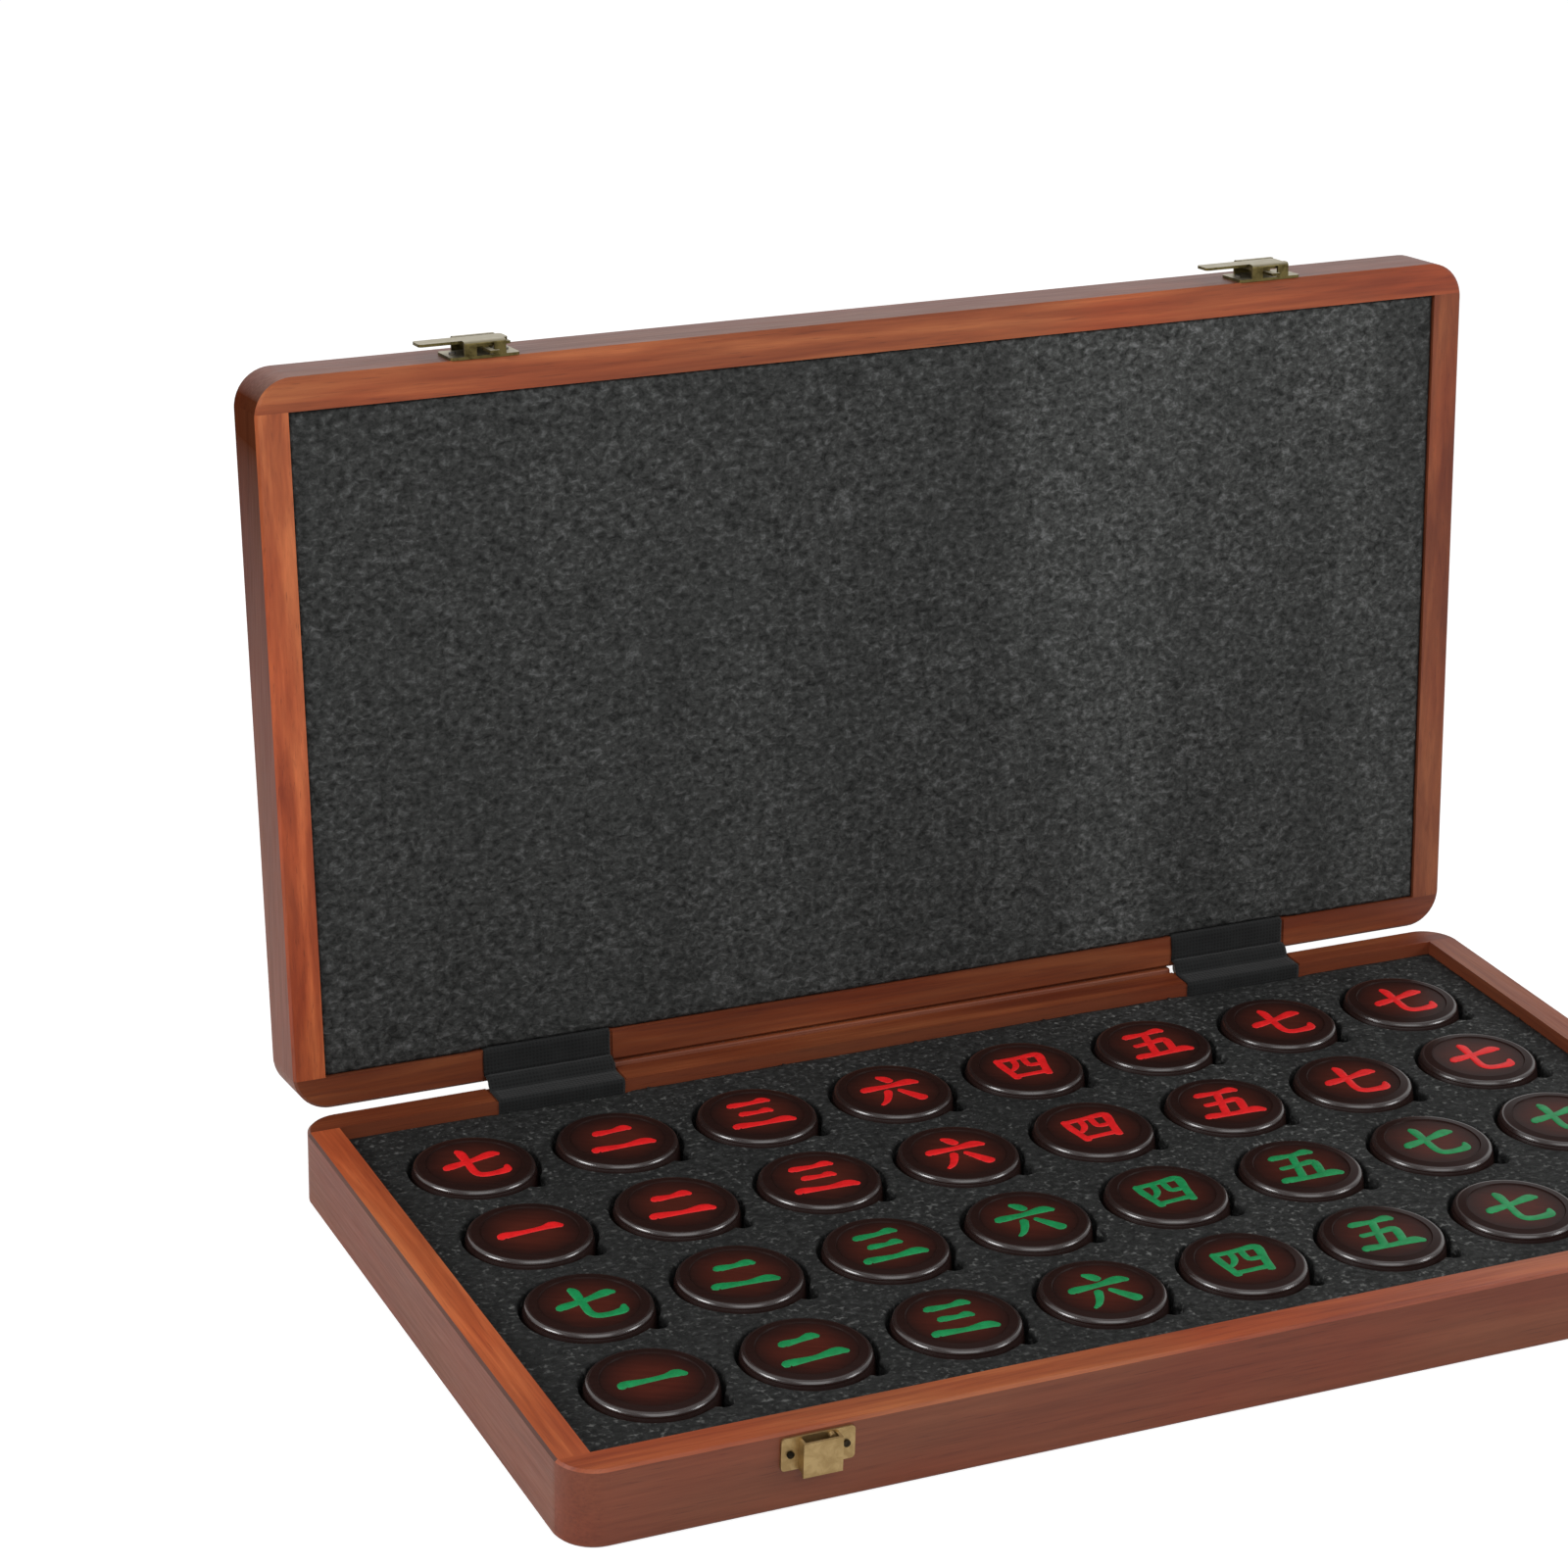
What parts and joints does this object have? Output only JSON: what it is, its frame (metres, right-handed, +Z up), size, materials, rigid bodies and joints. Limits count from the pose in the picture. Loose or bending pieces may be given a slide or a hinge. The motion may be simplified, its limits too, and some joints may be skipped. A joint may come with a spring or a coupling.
{
  "type": "boxed xiangqi set",
  "caption": "Hinged wooden case with a foam-lined lid, a cut foam tray of turned xiangqi pieces, cloth-covered hinges and brass slide clasps.",
  "frame": {"origin": "middle of the base's underside, on the surface that the case stands on", "axes": "+X along the case's length to the right, +Y from the clasps to the hinges, +Z up"},
  "size_m": [0.42, 0.2827, 0.2619],
  "materials": {
    "wood_rail": "satin stain",
    "wood_panel": "satin stain",
    "piece_wood": "polished",
    "foam": "closed-cell foam",
    "cloth": "matte",
    "brass": "aged satin",
    "dark_brass": "antiqued",
    "steel": "satin"
  },
  "bodies": {
    "base": {"base_front_rail": "wood_rail", "base_rear_rail": "wood_rail", "base_left_rail": "wood_rail", "base_right_rail": "wood_rail", "base_bottom_panel": "wood_panel", "base_stop_lath": "wood_rail", "base_foam_bed": "foam", "base_foam_tray": "foam", "hinge_base_leaves": "steel", "hinge_pins": "steel", "hinge_covers_base": "cloth", "keeper_left": "brass", "keeper_right": "brass", "base_fasteners": "steel"},
    "lid": {"lid_front_rail": "wood_rail", "lid_rear_rail": "wood_rail", "lid_left_rail": "wood_rail", "lid_right_rail": "wood_rail", "lid_top_panel": "wood_panel", "lid_foam": "foam", "hinge_lid_leaves": "steel", "hinge_covers_lid": "cloth", "hasp_housings": "dark_brass", "lid_fasteners": "steel"},
    "hasp_slide_left": {"hasp_slide_left": "dark_brass"},
    "hasp_slide_right": {"hasp_slide_right": "dark_brass"},
    "red_soldier_1": {"red_soldier_1": "piece_wood"},
    "red_advisor_1": {"red_advisor_1": "piece_wood"},
    "red_elephant_1": {"red_elephant_1": "piece_wood"},
    "red_cannon_1": {"red_cannon_1": "piece_wood"},
    "red_chariot_1": {"red_chariot_1": "piece_wood"},
    "red_horse_1": {"red_horse_1": "piece_wood"},
    "red_soldier_2": {"red_soldier_2": "piece_wood"},
    "red_soldier_3": {"red_soldier_3": "piece_wood"},
    "red_general": {"red_general": "piece_wood"},
    "red_advisor_2": {"red_advisor_2": "piece_wood"},
    "red_elephant_2": {"red_elephant_2": "piece_wood"},
    "red_cannon_2": {"red_cannon_2": "piece_wood"},
    "red_chariot_2": {"red_chariot_2": "piece_wood"},
    "red_horse_2": {"red_horse_2": "piece_wood"},
    "red_soldier_4": {"red_soldier_4": "piece_wood"},
    "red_soldier_5": {"red_soldier_5": "piece_wood"},
    "green_soldier_1": {"green_soldier_1": "piece_wood"},
    "green_advisor_1": {"green_advisor_1": "piece_wood"},
    "green_elephant_1": {"green_elephant_1": "piece_wood"},
    "green_cannon_1": {"green_cannon_1": "piece_wood"},
    "green_chariot_1": {"green_chariot_1": "piece_wood"},
    "green_horse_1": {"green_horse_1": "piece_wood"},
    "green_soldier_2": {"green_soldier_2": "piece_wood"},
    "green_soldier_3": {"green_soldier_3": "piece_wood"},
    "green_general": {"green_general": "piece_wood"},
    "green_advisor_2": {"green_advisor_2": "piece_wood"},
    "green_elephant_2": {"green_elephant_2": "piece_wood"},
    "green_cannon_2": {"green_cannon_2": "piece_wood"},
    "green_chariot_2": {"green_chariot_2": "piece_wood"},
    "green_horse_2": {"green_horse_2": "piece_wood"},
    "green_soldier_4": {"green_soldier_4": "piece_wood"},
    "green_soldier_5": {"green_soldier_5": "piece_wood"}
  },
  "joints": [
    {"name": "lid_hinge", "type": "hinge", "parent": "base", "child": "lid", "pos_m": [0, 0.1171, 0.0247], "axis": [-1, 0, 0], "range_deg": [-95.7, 0]},
    {"name": "hasp_slide_left_way", "type": "slide", "parent": "lid", "child": "hasp_slide_left", "axis": [1, 0, 0], "range_m": [-0.0022, 0.0012]},
    {"name": "hasp_slide_right_way", "type": "slide", "parent": "lid", "child": "hasp_slide_right", "axis": [1, 0, 0], "range_m": [0, 0.0034]},
    {"name": "red_soldier_1_lift", "type": "slide", "parent": "base", "child": "red_soldier_1", "axis": [0, 0, 1], "range_m": [0, 0.045]},
    {"name": "red_advisor_1_lift", "type": "slide", "parent": "base", "child": "red_advisor_1", "axis": [0, 0, 1], "range_m": [0, 0.045]},
    {"name": "red_elephant_1_lift", "type": "slide", "parent": "base", "child": "red_elephant_1", "axis": [0, 0, 1], "range_m": [0, 0.045]},
    {"name": "red_cannon_1_lift", "type": "slide", "parent": "base", "child": "red_cannon_1", "axis": [0, 0, 1], "range_m": [0, 0.045]},
    {"name": "red_chariot_1_lift", "type": "slide", "parent": "base", "child": "red_chariot_1", "axis": [0, 0, 1], "range_m": [0, 0.045]},
    {"name": "red_horse_1_lift", "type": "slide", "parent": "base", "child": "red_horse_1", "axis": [0, 0, 1], "range_m": [0, 0.045]},
    {"name": "red_soldier_2_lift", "type": "slide", "parent": "base", "child": "red_soldier_2", "axis": [0, 0, 1], "range_m": [0, 0.045]},
    {"name": "red_soldier_3_lift", "type": "slide", "parent": "base", "child": "red_soldier_3", "axis": [0, 0, 1], "range_m": [0, 0.045]},
    {"name": "red_general_lift", "type": "slide", "parent": "base", "child": "red_general", "axis": [0, 0, 1], "range_m": [0, 0.045]},
    {"name": "red_advisor_2_lift", "type": "slide", "parent": "base", "child": "red_advisor_2", "axis": [0, 0, 1], "range_m": [0, 0.045]},
    {"name": "red_elephant_2_lift", "type": "slide", "parent": "base", "child": "red_elephant_2", "axis": [0, 0, 1], "range_m": [0, 0.045]},
    {"name": "red_cannon_2_lift", "type": "slide", "parent": "base", "child": "red_cannon_2", "axis": [0, 0, 1], "range_m": [0, 0.045]},
    {"name": "red_chariot_2_lift", "type": "slide", "parent": "base", "child": "red_chariot_2", "axis": [0, 0, 1], "range_m": [0, 0.045]},
    {"name": "red_horse_2_lift", "type": "slide", "parent": "base", "child": "red_horse_2", "axis": [0, 0, 1], "range_m": [0, 0.045]},
    {"name": "red_soldier_4_lift", "type": "slide", "parent": "base", "child": "red_soldier_4", "axis": [0, 0, 1], "range_m": [0, 0.045]},
    {"name": "red_soldier_5_lift", "type": "slide", "parent": "base", "child": "red_soldier_5", "axis": [0, 0, 1], "range_m": [0, 0.045]},
    {"name": "green_soldier_1_lift", "type": "slide", "parent": "base", "child": "green_soldier_1", "axis": [0, 0, 1], "range_m": [0, 0.045]},
    {"name": "green_advisor_1_lift", "type": "slide", "parent": "base", "child": "green_advisor_1", "axis": [0, 0, 1], "range_m": [0, 0.045]},
    {"name": "green_elephant_1_lift", "type": "slide", "parent": "base", "child": "green_elephant_1", "axis": [0, 0, 1], "range_m": [0, 0.045]},
    {"name": "green_cannon_1_lift", "type": "slide", "parent": "base", "child": "green_cannon_1", "axis": [0, 0, 1], "range_m": [0, 0.045]},
    {"name": "green_chariot_1_lift", "type": "slide", "parent": "base", "child": "green_chariot_1", "axis": [0, 0, 1], "range_m": [0, 0.045]},
    {"name": "green_horse_1_lift", "type": "slide", "parent": "base", "child": "green_horse_1", "axis": [0, 0, 1], "range_m": [0, 0.045]},
    {"name": "green_soldier_2_lift", "type": "slide", "parent": "base", "child": "green_soldier_2", "axis": [0, 0, 1], "range_m": [0, 0.045]},
    {"name": "green_soldier_3_lift", "type": "slide", "parent": "base", "child": "green_soldier_3", "axis": [0, 0, 1], "range_m": [0, 0.045]},
    {"name": "green_general_lift", "type": "slide", "parent": "base", "child": "green_general", "axis": [0, 0, 1], "range_m": [0, 0.045]},
    {"name": "green_advisor_2_lift", "type": "slide", "parent": "base", "child": "green_advisor_2", "axis": [0, 0, 1], "range_m": [0, 0.045]},
    {"name": "green_elephant_2_lift", "type": "slide", "parent": "base", "child": "green_elephant_2", "axis": [0, 0, 1], "range_m": [0, 0.045]},
    {"name": "green_cannon_2_lift", "type": "slide", "parent": "base", "child": "green_cannon_2", "axis": [0, 0, 1], "range_m": [0, 0.045]},
    {"name": "green_chariot_2_lift", "type": "slide", "parent": "base", "child": "green_chariot_2", "axis": [0, 0, 1], "range_m": [0, 0.045]},
    {"name": "green_horse_2_lift", "type": "slide", "parent": "base", "child": "green_horse_2", "axis": [0, 0, 1], "range_m": [0, 0.045]},
    {"name": "green_soldier_4_lift", "type": "slide", "parent": "base", "child": "green_soldier_4", "axis": [0, 0, 1], "range_m": [0, 0.045]},
    {"name": "green_soldier_5_lift", "type": "slide", "parent": "base", "child": "green_soldier_5", "axis": [0, 0, 1], "range_m": [0, 0.045]}
  ]
}
